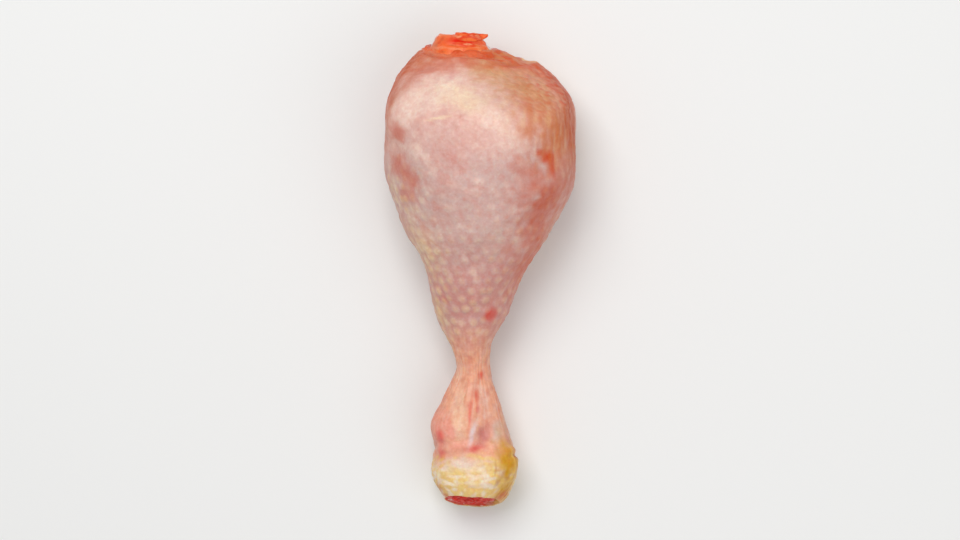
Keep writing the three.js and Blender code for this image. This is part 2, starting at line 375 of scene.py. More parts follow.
# The skin crinkles crosswise where it gathers at the knee.
gather_zone = bell(y - 60, 4.5)
crinkles = lumps(np.column_stack([points[:, 0] / 5.0, points[:, 1] / 0.9, points[:, 2] / 2.5]), 1.0, seed=20)
relief += 0.22 * gather_zone * crinkles

# Skin of the shank is drawn lengthwise over the tendons.
shank_zone = np.interp(y, [-55, -46, -38, -26, -14], [0, 0.5, 1, 1, 0])
shank_lines = lumps(lengthwise(1.6, 11.0), 1.0, seed=5)
relief += 0.16 * shank_zone * shank_lines

# The cuff: rows of low soft scales, under a thick edge.
CUFF_TOP = -56.6
SCALE_ROW = 1.9
SCALE_WIDTH = 3.1
CUFF_RADIUS = 11.5
cuff_line = y - 0.2 * (z - 11) + 1.3 * lumps(points, 7.0, seed=6)
cuff = 1 - smoothstep(cuff_line, CUFF_TOP - 1.1, CUFF_TOP + 1.1)
scale_v = (cuff_line - CUFF_TOP) / SCALE_ROW + 0.45 * lumps(points, 3.4, seed=7)
scale_row = np.floor(scale_v)
scale_u = angle * CUFF_RADIUS / SCALE_WIDTH + 0.62 * scale_row + 0.6 * lumps(points, 4.0, seed=8)
across_scale = np.abs(scale_u - np.floor(scale_u) - 0.5) * 2
along_scale = np.abs(scale_v - scale_row - 0.5) * 2
scale_crown = (1 - across_scale**2) * (1 - along_scale**2)
relief += cuff * (0.14 * scale_crown + 0.25)
relief += 0.35 * bell(cuff_line - (CUFF_TOP + 1.4), 1.2) - 0.3 * bell(cuff_line - (CUFF_TOP + 3.4), 1.0)

# The thick yellow fold at the hock's right side, with a groove along it and a nick in its edge.
fold_zone = smoothstep(x, 3.2, 5.4) * (1 - smoothstep(y + 0.6 * (x - 6), -51.5, -48.5)) * smoothstep(z, 4, 9)
fold_zone *= smoothstep(cuff_line, -64.5, -61.0)
relief += 0.35 * fold_zone - 0.5 * fold_zone * bell(x - 4.2 + 0.5 * lumps(points, 4.0, seed=42), 0.5)
relief -= 0.7 * bell(y + 55.3 - 0.4 * (x - 9), 0.7) * smoothstep(x, 6.5, 9.0)

# Cut faces are rough: the one at the hock, and the meat inside the lip at the knee.
hock_face = 1 - smoothstep(place, marks["cut_edge"] - 0.5, marks["cut_edge"] + 0.1)
knee_face = smoothstep(place, marks["lip_fold"] - 0.6, marks["lip_fold"] + 0.4)
cut_zone = np.maximum(hock_face, knee_face)
torn_relief = 0.3 * crinkles + 0.5 * lumps(points, 2.6, seed=57)
rough_meat = 0.3 * small_lumps + 0.35 * lumps(points, 1.3, seed=43) + knee_face * torn_relief
relief += (rough_meat - relief) * cut_zone
lip = bell(place - marks["lip_edge"], 1.6)
relief += lip * (0.7 - 0.4 * smoothstep(z, 14, 20)) * lumps(points, 5.4, seed=44)
grown_on = (1 - smoothstep(z, 13, 20)) * smoothstep(lumps(points, 7.0, seed=56), -0.1, 0.3)
relief += 1.0 * bell(place - marks["lip_fold"], 1.3) * grown_on
relief[is_bore] = 0
near_seat = smoothstep(np.minimum(share, 1 - share), 0.0, 0.012)
overhang = bell(place - marks["cut_edge"], 1.6) * bell(x + 3.5, 6.0) * smoothstep(z, 13, 17)
points = points + smooth_normals * (relief * near_seat * outer)[:, None]
loose = 1 - smoothstep(z, 14, 20) * smoothstep(-x, 8, 18)
points[:, 1] += outer * (1.6 * lip * loose * lumps(points, 7.0, seed=45) - 0.9 * overhang)
points[:, 2] = np.maximum(points[:, 2], 0)
set_points(skin.data, points)


def linear(red, green, blue):
    """A display colour, 0 to 255 a channel, in linear light."""
    shown = np.array([red, green, blue]) / 255
    return np.where(shown <= 0.04045, shown / 12.92, ((shown + 0.055) / 1.055) ** 2.4)


TINTS = {
    "pink": linear(230, 182, 170),
    "cream": linear(246, 218, 202),
    "warm_cream": linear(248, 220, 186),
    "grey_pink": linear(212, 178, 170),
    "mauve": linear(206, 158, 152),
    "rose": linear(208, 136, 124),
    "flush": linear(204, 102, 80),
    "salmon": linear(202, 90, 58),
    "blood": linear(216, 50, 30),
    "hock_pink": linear(238, 146, 134),
    "hock_red": linear(232, 96, 88),
    "orange": linear(216, 56, 0),
    "rim_orange": linear(212, 68, 0),
    # browner red for the knee's edges: blood, and painted shade
    "rim_blood_and_shade": linear(190, 76, 20),
    "amber": linear(208, 114, 52),
    "amber_brown": linear(202, 144, 78),
    "band_brown": linear(216, 136, 102),
    "peach": linear(240, 174, 142),
    "yellow_cream": linear(240, 208, 156),
    "ochre": linear(206, 148, 10),
    "brown": linear(170, 96, 60),
    "cuff_white": linear(244, 224, 200),
    "cuff_yellow": linear(240, 200, 104),
    "bluish": linear(214, 184, 172),
    "lilac_white": linear(236, 210, 208),
    "hollow": linear(200, 122, 120),
    "meat": linear(230, 98, 50),
    "raw_red": linear(204, 84, 72),
}

# The skin's ground colour from the hock to the knee, by its place on Y.
GROUND = [
    (-70, "cuff_white"),
    (-58, "cuff_white"),
    (-55, "peach"),
    (-24, "peach"),
    (-14, "mauve"),
    (-3, "mauve"),
    (12, "grey_pink"),
    (30, "grey_pink"),
    (42, "pink"),
    (56, "pink"),
    (62, "band_brown"),
    (70, "band_brown"),
]

# Stains, veins and paler places, with painted highlights and painted shade among them: X, Y, reach across and
# along, turn in degrees, strength, tint.
SPOTS = {
    # Painted highlights in cream along the shoulder ridge, where it faces the light.
    "ridge_highlight": (-12.0, 52.0, 13.0, 5.0, 8, 0.9, "cream"),
    "ridge_highlight_warm": (-2.5, 49.5, 8.5, 3.6, -26, 0.75, "warm_cream"),
    "ridge_highlight_end": (8.0, 43.0, 7.5, 4.6, -42, 0.7, "cream"),
    "left_ridge_highlight": (-20.0, 46.0, 5.0, 4.0, 0, 0.5, "cream"),
    # A thin cream line below the ridge.
    "cream_line": (-10.4, 44.2, 4.0, 0.4, 8, 0.95, "warm_cream"),
    "pale_streak": (-15.5, 33.5, 6.5, 1.5, -38, 0.6, "cream"),
    # Painted highlights: a white speck, and a bluish sheen on the belly.
    "highlight_dot": (1.5, 26.2, 0.9, 1.0, 0, 0.7, "cream"),
    "belly_highlight": (6.0, 9.0, 5.0, 5.0, 0, 0.45, "bluish"),
    "left_grey": (-12.0, 39.0, 8.0, 5.0, 0, 0.4, "grey_pink"),
    "left_blotch": (-23.0, 40.4, 3.8, 2.4, -20, 0.75, "flush"),
    "lower_blotch": (-22.8, 31.0, 4.0, 3.2, -32, 0.8, "flush"),
    "blotch_tail": (-18.8, 26.8, 4.2, 2.6, -38, 0.65, "flush"),
    "third_blotch": (-20.6, 21.4, 3.4, 3.0, 0, 0.6, "flush"),
    "belly_flush": (-7.0, 33.0, 6.0, 5.0, 0, 0.35, "rose"),
    "knee_band": (-8.0, 60.4, 12.0, 2.4, 5, 0.45, "flush"),
    "knee_middle": (2.0, 58.0, 5.0, 3.6, -30, 0.5, "amber_brown"),
    # The knee band's brown runs on to the left edge, darker there as painted shade.
    "knee_left_band_and_shade": (-22.6, 59.6, 2.2, 6.5, -42, 0.45, "band_brown"),
    "amber_shoulder": (14.5, 53.0, 13.0, 6.6, -36, 0.75, "amber_brown"),
    "right_top": (22.6, 56.0, 12.0, 2.4, -46, 0.85, "rim_orange"),
    "amber_low": (20.0, 44.5, 8.5, 6.5, -50, 0.52, "amber"),
    "amber_side": (24.0, 38.0, 4.6, 8.0, 0, 0.8, "amber"),
    "orange_patch": (21.4, 33.2, 2.6, 2.0, 0, 1.0, "rim_orange"),
    "orange_tail": (22.6, 30.0, 1.2, 3.0, 8, 0.85, "rim_orange"),
    "orange_fleck": (19.0, 34.4, 1.2, 1.0, 0, 0.8, "rim_orange"),
    # The right flank is salmon, made darker and stronger low down as painted shadow.
    "right_flank_and_shadow": (20.5, 20.0, 6.5, 12.0, -22, 0.95, "salmon"),
    "right_upper": (15.0, 28.5, 5.0, 3.0, -40, 0.45, "salmon"),
    "right_low_and_shadow": (14.8, 3.0, 4.6, 11.0, -26, 0.95, "salmon"),
    "calf_rose": (-4.0, -8.0, 12.0, 4.0, 0, 0.4, "rose"),
    "calf_warm": (-16.0, 6.0, 5.0, 9.0, 14, 0.45, "yellow_cream"),
    "blood_spot": (3.4, -13.2, 1.7, 2.5, -24, 0.9, "blood"),
    "small_red": (-10.4, -8.6, 1.8, 1.2, 0, 0.3, "blood"),
    "yellow_bumps": (-11.9, -13.0, 2.2, 5.0, 10, 0.7, "yellow_cream"),
    "red_dot": (0.1, -31.0, 0.8, 1.3, 0, 0.8, "blood"),
    "vein": (-0.8, -37.9, 0.7, 2.4, 0, 0.65, "orange"),
    "vein_end": (-0.5, -41.0, 0.6, 1.4, 0, 0.7, "blood"),
    "hock_mauve": (1.2, -39.5, 1.8, 3.6, 0, 0.4, "mauve"),
    "hock_left": (-12.6, -48.3, 3.6, 7.0, 0, 0.62, "hock_pink"),
    "hock_red": (-11.8, -49.6, 1.5, 2.2, 20, 0.8, "hock_red"),
    "hock_red_low": (-11.6, -54.2, 1.8, 1.5, 0, 0.7, "hock_red"),
    "hock_stain": (-8.8, -47.0, 1.6, 5.0, 12, 0.5, "hock_pink"),
    "tendon_light": (-5.4, -43.0, 2.8, 9.5, 4, 0.4, "warm_cream"),
    "tendon_edge": (-2.6, -43.0, 0.6, 5.0, -6, 0.6, "hock_red"),
    "red_band": (-3.2, -52.0, 5.4, 2.0, 10, 0.5, "hock_pink"),
    "red_band_core": (-1.4, -52.7, 3.0, 0.9, 14, 0.85, "hock_red"),
    # Darker in the hollow beside the tendon: painted shade.
    "hollow": (1.0, -48.6, 2.0, 3.8, -14, 0.75, "hollow"),
    # A white tendon, lighter along it as a painted highlight.
    "white_tendon_and_highlight": (-2.0, -48.4, 0.7, 3.9, -16, 1.0, "lilac_white"),
    "blue_lobe": (5.0, -48.0, 1.8, 4.2, 6, 0.9, "bluish"),
    "cuff_pale": (-5.0, -57.8, 6.0, 2.6, 0, 0.7, "cream"),
    "spur": (8.2, -58.0, 3.4, 8.0, 4, 1.0, "ochre"),
    "spur_top": (6.4, -52.4, 2.2, 2.2, 30, 0.45, "ochre"),
    "spur_low": (6.6, -65.4, 3.0, 2.6, 0, 0.9, "ochre"),
    # Brown in the nick of the fold: painted shade in the crevice.
    "spur_nick_shade": (10.2, -55.3, 1.6, 0.7, 10, 0.9, "brown"),
    "cuff_corner": (-12.2, -64.8, 1.9, 2.2, 20, 0.55, "amber"),
    "cuff_corner_edge": (-10.6, -67.0, 1.6, 0.9, 20, 0.6, "rim_orange"),
    "cuff_right_edge": (6.0, -67.2, 3.0, 1.8, 10, 1.0, "amber"),
}


def blended(colours, tint, amount):
    """Moves each row of colours towards the named tint, by an amount from 0 to 1 for each."""
    return colours + (TINTS[tint] - colours) * np.clip(amount, 0, 1)[:, None]


def add_tint(mesh, colours):
    """Stores a colour for each point, in linear light."""
    attribute = mesh.attributes.new("tint", "FLOAT_COLOR", "POINT")
    with_alpha = np.concatenate([colours, np.ones((len(colours), 1))], axis=1)
    attribute.data.foreach_set("color", with_alpha.astype(np.float32).ravel())


ground_y = [row[0] for row in GROUND]
ground_tints = np.array([TINTS[row[1]] for row in GROUND])
wavering_y = y + 2.5 * lumps(points, 8.0, seed=9)
colours = np.stack([np.interp(wavering_y, ground_y, channel) for channel in ground_tints.T], axis=1)

# Flanks and underside are pinker, with yellow fat under the skin in places.
flank = 1 - smoothstep(smooth_normals[:, 2], 0.0, 0.7)
leg = smoothstep(y, -56, -50)
patchy = lumps(points, 7.0, seed=12)
colours = blended(colours, "salmon", 0.35 * flank * leg * (0.7 + 0.8 * big_lumps))
lean_side = 0.7 * smoothstep(x, 4, 12) * smoothstep(z, 8, 16)
fatty = smoothstep(lumps(points, 14.0, seed=10), 0.05, 0.4) * (1 - lean_side)
colours = blended(colours, "yellow_cream", 0.55 * flank * leg * fatty)
colours = blended(colours, "rose", 0.6 * smoothstep(patchy, 0.12, 0.45) * (0.35 + 0.65 * flank) * leg)
colours = blended(colours, "mauve", 0.5 * smoothstep(lumps(points, 9.0, seed=13), 0.1, 0.45) * flank * leg)
colours = blended(colours, "cream", 0.28 * smoothstep(lumps(points, 2.6, seed=46), 0.0, 0.5) * leg)
colours = blended(colours, "rose", 0.36 * smoothstep(lumps(points, 2.1, seed=47), 0.05, 0.5) * leg)

# Cuff scales are yellow on white skin.
dashes = lumps(np.column_stack([angle * CUFF_RADIUS / 2.6, cuff_line / 1.1, z / 8]), 1.0, seed=14)
yellow_patch = smoothstep(0.3 * scale_crown + dashes + 0.03 * (-58 - cuff_line), -0.1, 0.65)
colours = blended(colours, "cuff_yellow", cuff * (0.05 + 0.75 * yellow_patch))
colours = blended(colours, "ochre", 0.6 * cuff * flank * smoothstep(lumps(points, 6.0, seed=15), -0.1, 0.4))

# The edges of each spot wander, as stains under skin do, and more so on the large ones.
OUT_OF_REACH = 1e9
ragged = lumps(points, 2.0, seed=16)
wander_x = 0.5 * lumps(points, 3.0, seed=48)
wander_y = 0.5 * lumps(points, 3.0, seed=49)
for at_x, at_y, reach_x, reach_y, turn, strength, tint in SPOTS.values():
    off_top = np.where((smooth_normals[:, 2] > 0.1) & outer, 0, OUT_OF_REACH)
    centre = points[np.argmin((x - at_x) ** 2 + (y - at_y) ** 2 + off_top)]
    across, along, deep = (points - centre).T
    size = math.sqrt(reach_x * reach_y)
    across += wander_x * min(size, 0.35 * size * size)
    along += wander_y * min(size, 0.35 * size * size)
    cos = math.cos(math.radians(turn))
    sin = math.sin(math.radians(turn))
    u = (across * cos + along * sin) / reach_x
    v = (along * cos - across * sin) / reach_y
    w = deep / (0.7 * (reach_x + reach_y))
    from_middle = np.sqrt(u * u + v * v + w * w) * (1 + min(0.35, 0.1 * size) * ragged)
    softness = np.interp(size, [1.5, 7], [3.0, 1.9])
    colours = blended(colours, tint, strength * np.exp(-(from_middle**softness)))

# Blood shows through the thin skin round the knee's two sides, in streaks along the stretch lines. The brown
# is painted strongest where the sides turn away from above, so it is partly painted shade along the edges.
rim_reach = np.where(x > 0, 0.68, np.interp(y, [34, 42, 54], [0.4, 0.6, 0.85]))
edge_on = 1 - smoothstep(smooth_normals[:, 2] + 0.12 * patchy, 0.15, rim_reach)
right_rim = np.interp(y, [20, 30, 40, 50, 62], [0, 0.55, 0.95, 0.85, 0.8]) * smoothstep(x, 2, 8)
left_rim = np.interp(y, [18, 32, 42, 47, 53, 60], [0, 0.3, 0.5, 0.65, 1.1, 1.1]) * smoothstep(-x, 8, 14)
rim_streaks = lumps(lengthwise(1.4, 9.0), 1.0, seed=58) + 0.8 * patchy
rim = edge_on * (right_rim + left_rim) * smoothstep(z, 15, 19.5)
rim *= 0.5 + 0.5 * smoothstep(z + 2.5 * patchy, 18, 25)
colours = blended(colours, "rim_blood_and_shade", rim * (1 + 0.5 * rim_streaks))
streaked = stretch_zone * smoothstep(stretch_lines, -0.1, 0.5)
colours = blended(colours, "amber", 0.5 * streaked * smoothstep(x, 5, 18))
colours = blended(colours, "yellow_cream", 0.22 * stretch_zone * smoothstep(-stretch_lines, 0.05, 0.5))
ripple_crests = 0.45 * ripple_zone * smoothstep(ripples, 0.0, 0.4) * smoothstep(x, 6, 20)
colours = blended(colours, "rim_orange", ripple_crests)
colours = blended(colours, "peach", 0.3 * ripple_zone * smoothstep(-ripples, 0.1, 0.5))
colours = blended(colours, "salmon", 0.35 * gather_zone * smoothstep(crinkles, 0.0, 0.6))
colours = blended(colours, "flush", 0.22 * shank_zone * smoothstep(shank_lines, 0.0, 0.6))
shank_mottle = lumps(points, 1.9, seed=66)
colours = blended(colours, "flush", 0.3 * shank_zone * smoothstep(shank_mottle, 0.0, 0.5))
colours = blended(colours, "cream", 0.3 * shank_zone * smoothstep(-shank_lines, 0.05, 0.6))
upper = smoothstep(z, 15, 22)
lip_blood = np.interp(x, [-18, -14, 0, 6, 16], [0.9, 0.5, 0.15, 0.5, 0.7]) + 0.6 * patchy
colours = blended(colours, "rim_orange", smoothstep(z, 18, 26) * lip * lip_blood)
lip_fat = 0.7 * (1 - upper) * lip * smoothstep(lumps(points, 5.0, seed=59), -0.2, 0.3)
colours = blended(colours, "yellow_cream", lip_fat)

# Follicles are yellowish cream, and the skin between them is redder.
yellower = np.interp(x + 0.4 * y, [-16, -4, 8, 20], [0.44, 0.26, 0.2, 0.1])
colours = blended(colours, "yellow_cream", yellower * smoothstep(bump, 0.0, 0.8))
colours = blended(colours, "rose", 0.34 * between)
# The cuff is painted browner where its surface sinks: painted shade in its low places.
colours = blended(colours, "brown", 0.25 * cuff * smoothstep(-relief, 0.0, 0.6))

# The fold at the hock is streaked lengthwise in brown and pale yellow.
fold_lines = lumps(lengthwise(1.3, 9.0), 1.0, seed=51)
ochre_fold = smoothstep(x, 3.0, 5.0) * smoothstep(-y, 50, 55)
colours = blended(colours, "brown", 0.35 * ochre_fold * smoothstep(fold_lines, 0.1, 0.6))
colours = blended(colours, "cuff_yellow", 0.45 * ochre_fold * smoothstep(-fold_lines, 0.1, 0.6))

# Cut meat is red at the knee. At the hock the skin's cut edge is pale round the red of the tendons.
torn_meat = smoothstep(place + 1.6 * ragged, marks["lip_edge"], marks["cut_meat"])
right_side = smoothstep(x + 1.5 * ragged, 0, 5)
colours = blended(colours, "band_brown", knee_face * 0.9)
colours = blended(colours, "meat", torn_meat * 0.85 * upper * (1 - right_side))
colours = blended(colours, "amber", torn_meat * 0.65 * upper * right_side)
colours = blended(colours, "raw_red", knee_face * 0.8 * (1 - upper))
fat_bits = smoothstep(lumps(points, 4.0, seed=60), 0.15, 0.35)
gristle_bits = smoothstep(lumps(points, 2.4, seed=61), 0.3, 0.5)
colours = blended(colours, "yellow_cream", knee_face * 0.9 * (1 - upper) * fat_bits)
colours = blended(colours, "cream", knee_face * 0.8 * (1 - upper) * gristle_bits)
torn_orange = knee_face * 0.75 * upper * smoothstep(crinkles + 0.2 * right_side, 0.0, 0.5)
colours = blended(colours, "rim_orange", torn_orange)
colours = blended(colours, "flush", hock_face * 0.9)
colours = blended(colours, "ochre", hock_face * smoothstep(x, 2.0, 4.5))
tendon_red = hock_face * 0.85 * smoothstep(lumps(points, 2.8, seed=50) - 0.3 * (x - 1), -0.3, 0.2)
colours = blended(colours, "blood", tendon_red)
colours = blended(colours, "cream", hock_face * 0.7 * smoothstep(lumps(points, 2.2, seed=53), 0.3, 0.5))
add_tint(skin.data, colours)


def new_material(name):
    material = bpy.data.materials.new(name)
    material.use_nodes = True
    return material, material.node_tree.nodes["Principled BSDF"]


def add_node(material, kind, sockets, **settings):
    """Adds a shader node. Sockets takes values, or other nodes' sockets to link."""
    tree = material.node_tree
    made = tree.nodes.new(kind)
    for key, value in settings.items():
        setattr(made, key, value)
    for name, value in sockets.items():
        if isinstance(value, bpy.types.NodeSocket):
            tree.links.new(value, made.inputs[name])
        else:
            made.inputs[name].default_value = value
    return made


def noise_at(material, coordinates, scale, detail=3.0, roughness=0.55):
    sockets = {"Vector": coordinates, "Scale": scale, "Detail": detail, "Roughness": roughness}
    return add_node(material, "ShaderNodeTexNoise", sockets).outputs["Fac"]


def ramped(material, value, low, high, to_low=0.0, to_high=1.0):
    sockets = {"Value": value, "From Min": low, "From Max": high, "To Min": to_low, "To Max": to_high}
    return add_node(material, "ShaderNodeMapRange", sockets).outputs["Result"]


def mixed(material, amount, first, second, blend="MIX"):
    node = add_node(material, "ShaderNodeMix", {}, data_type="RGBA", blend_type=blend)
    for index, value in ((0, amount), (6, first), (7, second)):
        if isinstance(value, bpy.types.NodeSocket):
            material.node_tree.links.new(value, node.inputs[index])
        else:
            node.inputs[index].default_value = value
    return node.outputs[2]


def bumped(material, height, strength, distance, normal=None):
    sockets = {"Height": height, "Strength": strength, "Distance": distance}
    if normal:
        sockets["Normal"] = normal
    return add_node(material, "ShaderNodeBump", sockets).outputs["Normal"]


def flesh_settings(shader, scatter, coat, specular):
    shader.inputs["Subsurface Weight"].default_value = scatter
    shader.inputs["Subsurface Radius"].default_value = (1.0, 0.35, 0.2)
    shader.inputs["Subsurface Scale"].default_value = 1.4 * MM
    shader.inputs["Coat Weight"].default_value = coat
    shader.inputs["Coat Roughness"].default_value = 0.28
    shader.inputs["Specular IOR Level"].default_value = specular


PALE_FLECK = (1.06, 1.16, 1.18, 1)
skin_material, skin_shader = new_material("raw_skin")
skin_place = add_node(skin_material, "ShaderNodeTexCoord", {}).outputs["Object"]
skin_tint = add_node(skin_material, "ShaderNodeAttribute", {}, attribute_name="tint").outputs["Color"]
blushes = ramped(skin_material, noise_at(skin_material, skin_place, 750), 0.42, 0.72, 0, 0.18)
pale_flecks = ramped(skin_material, noise_at(skin_material, skin_place, 1300), 0.45, 0.75, 0, 0.9)
flushed = mixed(skin_material, blushes, skin_tint, (*TINTS["salmon"], 1))
dappled = mixed(skin_material, pale_flecks, flushed, PALE_FLECK, "MULTIPLY")
cells = add_node(
    skin_material, "ShaderNodeTexVoronoi", {"Vector": skin_place, "Scale": 900.0}, feature="SMOOTH_F1"
).outputs["Distance"]
grain = noise_at(skin_material, skin_place, 2400, detail=4)
cell_bump = bumped(skin_material, cells, 0.6, 0.2 * MM)
skin_bump = bumped(skin_material, grain, 0.5, 0.12 * MM, cell_bump)
gloss = ramped(skin_material, noise_at(skin_material, skin_place, 260), 0.35, 0.65, 0.36, 0.58)
skin_links = skin_material.node_tree.links
skin_links.new(dappled, skin_shader.inputs["Base Color"])
skin_links.new(gloss, skin_shader.inputs["Roughness"])
skin_links.new(skin_bump, skin_shader.inputs["Normal"])
skin_links.new(skin_bump, skin_shader.inputs["Coat Normal"])
flesh_settings(skin_shader, scatter=0.28, coat=0.1, specular=0.2)
skin.data.materials.append(skin_material)
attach(skin, "root")
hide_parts("skin_and_meat")


# ---------------------------------------------------------------- the bone
#
# The bone of the lower leg. Its knee end is a broad head of gristle with two low lobes, covered by torn
# red and orange membrane. At the hock it was cut through, and its wall shows as a ring round the marrow.

BONE_AROUND = 96
BONE_RINGS = 170
# The rings run from the blind end of the hollow along its wall, over the cut rim and back to the knee.
# Share of the rings, place on Y, how far the wall's thickness is taken off, distance from the middle line.
BONE_RUN = [
    (0.00, 34.0, 1, 0),
    (0.01, 34.0, 1, 1),
    (0.09, -60.0, 1, 1),
    (0.14, -68.3, 1, 1),
    (0.26, -68.3, 0, 1),
    (0.33, -62.0, 0, 1),
    (0.43, 52.0, 0, 1),
    (0.50, 59.0, 0, 1),
    (0.88, 69.9, 0, 1),
    (1.00, 69.9, 0, 0),
]


def add_ball(bm, around, rings):
    bmesh.ops.create_uvsphere(bm, u_segments=around, v_segments=rings, radius=1)


def ball_places(mesh):
    """For each point of a plain ball: its share of the way from the low pole to the high one, its angle."""
    ball = vertex_array(mesh)
    rings_share = 1 - np.arccos(np.clip(ball[:, 2], -1, 1)) / math.pi
    return rings_share, np.arctan2(-ball[:, 1], ball[:, 0])


bone_bm = bmesh.new()
add_ball(bone_bm, BONE_AROUND, BONE_RINGS)
bone = new_piece("bone", bone_bm)
share, angle = ball_places(bone.data)
run_share, run_y, run_inset, run_axis = np.array(BONE_RUN).T
run_place = np.interp(share, run_share, bone_curve.place_of(run_y))
wall = bone_curve.at(run_place)["wall"] * np.interp(share, run_share, run_inset)
points = bone_surface(run_place, angle, -wall, np.interp(share, run_share, run_axis))
set_points(bone.data, points)
normals = vertex_array(bone.data, "normal")
x, y, z = points.T
head = smoothstep(y, 60, 64)
rim = (share > 0.14) & (share < 0.27)
groove = bell(x + 6.6, 2.0) * smoothstep(y, 63, 69)
fibres = lumps(np.column_stack([x / 4.5, y / 0.9, z / 1.4]), 1.0, seed=29)
torn_teeth = lumps(np.column_stack([x / 1.1, y / 3.0, z / 4.0]), 1.0, seed=62)
torn_edge = 2.6 * lumps(points, 3.6, seed=26) + 1.6 * torn_teeth
torn = smoothstep(z + torn_edge, 20.4, 21.6)
head_lumps = 0.45 * lumps(points, 6.0, seed=21) + 0.2 * lumps(points, 2.6, seed=22)
relief = head * (head_lumps - 1.1 * groove * (1 - torn))
relief += head * torn * (0.4 + 0.25 * fibres)
relief -= 1.4 * smoothstep(np.abs(x + 6.2), 5.0, 9.6) * smoothstep(y, 64.0, 68.0)
relief += rim * (0.35 * lumps(points, 2.2, seed=23) + 0.25 * lumps(points, 0.9, seed=24))
points = points + normals * relief[:, None]
set_points(bone.data, points)

TINTS |= {
    "gristle": linear(234, 212, 204),
    "bone_red": linear(224, 24, 4),
    "bright_red": linear(232, 36, 0),
    "membrane": linear(244, 118, 60),
    "torn_pale": linear(250, 178, 130),
    "dark_red": linear(140, 22, 22),
    "wet_red": linear(226, 44, 28),
    "wet_pink": linear(226, 130, 118),
}
colours = np.tile(TINTS["bone_red"], (len(points), 1))
pale_rim = 0.85 * smoothstep(lumps(points, 2.4, seed=25) + 0.05 * (8 - z), 0.1, 0.35) * (1 - head)
colours = blended(colours, "gristle", pale_rim)
low_ring = smoothstep(11 - z + 3 * lumps(points, 2.2, seed=65), 0, 4)
colours = blended(colours, "wet_pink", 0.75 * low_ring * (1 - head))
sawn_specks = smoothstep(lumps(points, 1.1, seed=67), 0.0, 0.35)
colours = blended(colours, "wet_pink", 0.55 * sawn_specks * (1 - head))
colours = blended(colours, "dark_red", 0.4 * smoothstep(lumps(points, 1.2, seed=63), 0.15, 0.5) * (1 - head))
colours = blended(colours, "gristle", head)
pink_gristle = head * 0.75 * smoothstep(lumps(points, 2.2, seed=27) + 0.1 * (16 - z), 0.0, 0.5)
colours = blended(colours, "wet_pink", pink_gristle)
colours = blended(colours, "wet_pink", head * 0.8 * bell(x + 6.6, 1.2))
colours = blended(colours, "membrane", head * torn)
colours = blended(colours, "torn_pale", head * torn * 0.4 * smoothstep(fibres, 0.1, 0.5))
colours = blended(colours, "brown", head * torn * 0.5 * smoothstep(-fibres, 0.25, 0.6))
colours = blended(colours, "band_brown", head * torn * 0.7 * smoothstep(-x + fibres, 10.5, 14.5))
bright = bell(x + 4.8, 5.4) * bell(y - 67.4 + 0.5 * lumps(points, 3.0, seed=55), 1.5) * smoothstep(z, 16, 22)
colours = blended(colours, "bright_red", head * bright * (0.9 + 0.5 * fibres))
add_tint(bone.data, colours)

bone_material, bone_shader = new_material("bone_and_gristle")
bone_place = add_node(bone_material, "ShaderNodeTexCoord", {}).outputs["Object"]
bone_tint = add_node(bone_material, "ShaderNodeAttribute", {}, attribute_name="tint").outputs["Color"]
bone_specks = ramped(bone_material, noise_at(bone_material, bone_place, 800), 0.5, 0.7, 0, 0.45)
bone_fibres = noise_at(bone_material, bone_place, 1500, detail=4)
bone_links = bone_material.node_tree.links
speckled = mixed(bone_material, bone_specks, bone_tint, (*TINTS["bone_red"], 1))
bone_links.new(speckled, bone_shader.inputs["Base Color"])
bone_links.new(bumped(bone_material, bone_fibres, 0.5, 0.15 * MM), bone_shader.inputs["Normal"])
bone_shader.inputs["Roughness"].default_value = 0.34
flesh_settings(bone_shader, scatter=0.2, coat=0.05, specular=0.15)
bone.data.materials.append(bone_material)
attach(bone, "root")
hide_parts("leg_bone")


# ---------------------------------------------------------------- the marrow
#
# Wet red marrow and spongy bone fill the hollow. Where the leg was cut the face is rough, with dark pits and
# pale crumbs of gristle. The face is painted darker where it sinks in and across its middle: painted shade.

MARROW_AROUND = 84
MARROW_RINGS = 90
# Share of the rings, place on Y, distance from the middle line.
MARROW_RUN = [
    (0.00, -68.5, 0),
    (0.55, -68.5, 1),
    (0.62, -67.0, 1),
    (0.99, 33.0, 1),
    (1.00, 33.0, 0),
]
marrow_bm = bmesh.new()
add_ball(marrow_bm, MARROW_AROUND, MARROW_RINGS)
marrow = new_piece("marrow_core", marrow_bm)
share, angle = ball_places(marrow.data)
run_share, run_y, run_axis = np.array(MARROW_RUN).T
run_place = np.interp(share, run_share, bone_curve.place_of(run_y))
wall = bone_curve.at(run_place)["wall"]
points = bone_surface(run_place, angle, 0.12 - wall, np.interp(share, run_share, run_axis))
set_points(marrow.data, points)
face = share < 0.6
rough = 0.8 * lumps(points, 3.4, seed=31) + 0.4 * lumps(points, 1.2, seed=32)
points[:, 1] -= np.where(face, rough * smoothstep(0.56 - share, 0, 0.06) + 0.1, 0)
set_points(marrow.data, points)
colours = np.tile(TINTS["wet_red"], (len(points), 1))
x, y, z = points.T
# Painted shade: darker red where the rough face sinks in, and across its middle.
colours = blended(colours, "dark_red", 0.5 * smoothstep(-rough + 0.5 * bell(x + 3.8, 2.0), 0.2, 0.7))
spongy = lumps(points, 0.9, seed=64)
colours = blended(colours, "dark_red", 0.45 * smoothstep(spongy, 0.1, 0.5))
pink_marrow = smoothstep(lumps(points, 2.6, seed=33) + 0.09 * (x + 3.5), -0.1, 0.45)
colours = blended(colours, "wet_pink", 0.78 * pink_marrow * smoothstep(-spongy, -0.2, 0.3))
colours = blended(colours, "gristle", 0.9 * bell(x + 3.6, 1.1) * bell(z - 4.8, 0.9) * face)
add_tint(marrow.data, colours)

